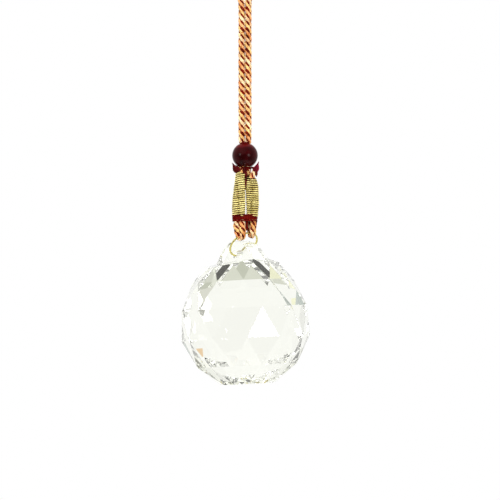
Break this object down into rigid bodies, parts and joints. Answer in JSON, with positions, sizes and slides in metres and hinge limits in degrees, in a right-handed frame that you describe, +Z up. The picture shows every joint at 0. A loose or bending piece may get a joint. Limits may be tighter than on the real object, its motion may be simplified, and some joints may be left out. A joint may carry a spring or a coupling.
{
  "type": "crystal suncatcher",
  "caption": "Faceted clear crystal ball hung by a gold jump ring from a red-and-gold cord with a dark red bead and gold thread windings.",
  "frame": {"origin": "inside top of the hanging loop, where a hook or nail carries it", "axes": "+Z up, -Y towards the front, +X to the right as seen from the front"},
  "size_m": [0.0397, 0.0397, 0.1332],
  "materials": {
    "crystal": "clear cut crystal, polished flat facets",
    "gold_wire": "bright gold-plated wire",
    "cord": "three plies of cream and gold yarn with dark red yarn laid between them",
    "bead": "dark red stone, high polish",
    "gold_thread": "yellow-gold metallic thread",
    "red_thread": "dark red thread"
  },
  "bodies": {
    "root": {"crystal_ball": "crystal", "jump_ring": "gold_wire", "hanging_cord": "cord", "bound_cord_left": "cord", "bound_cord_right": "cord", "bead": "bead", "gold_winding_left": "gold_thread", "gold_winding_right": "gold_thread", "red_binding": "red_thread"}
  },
  "joints": []
}
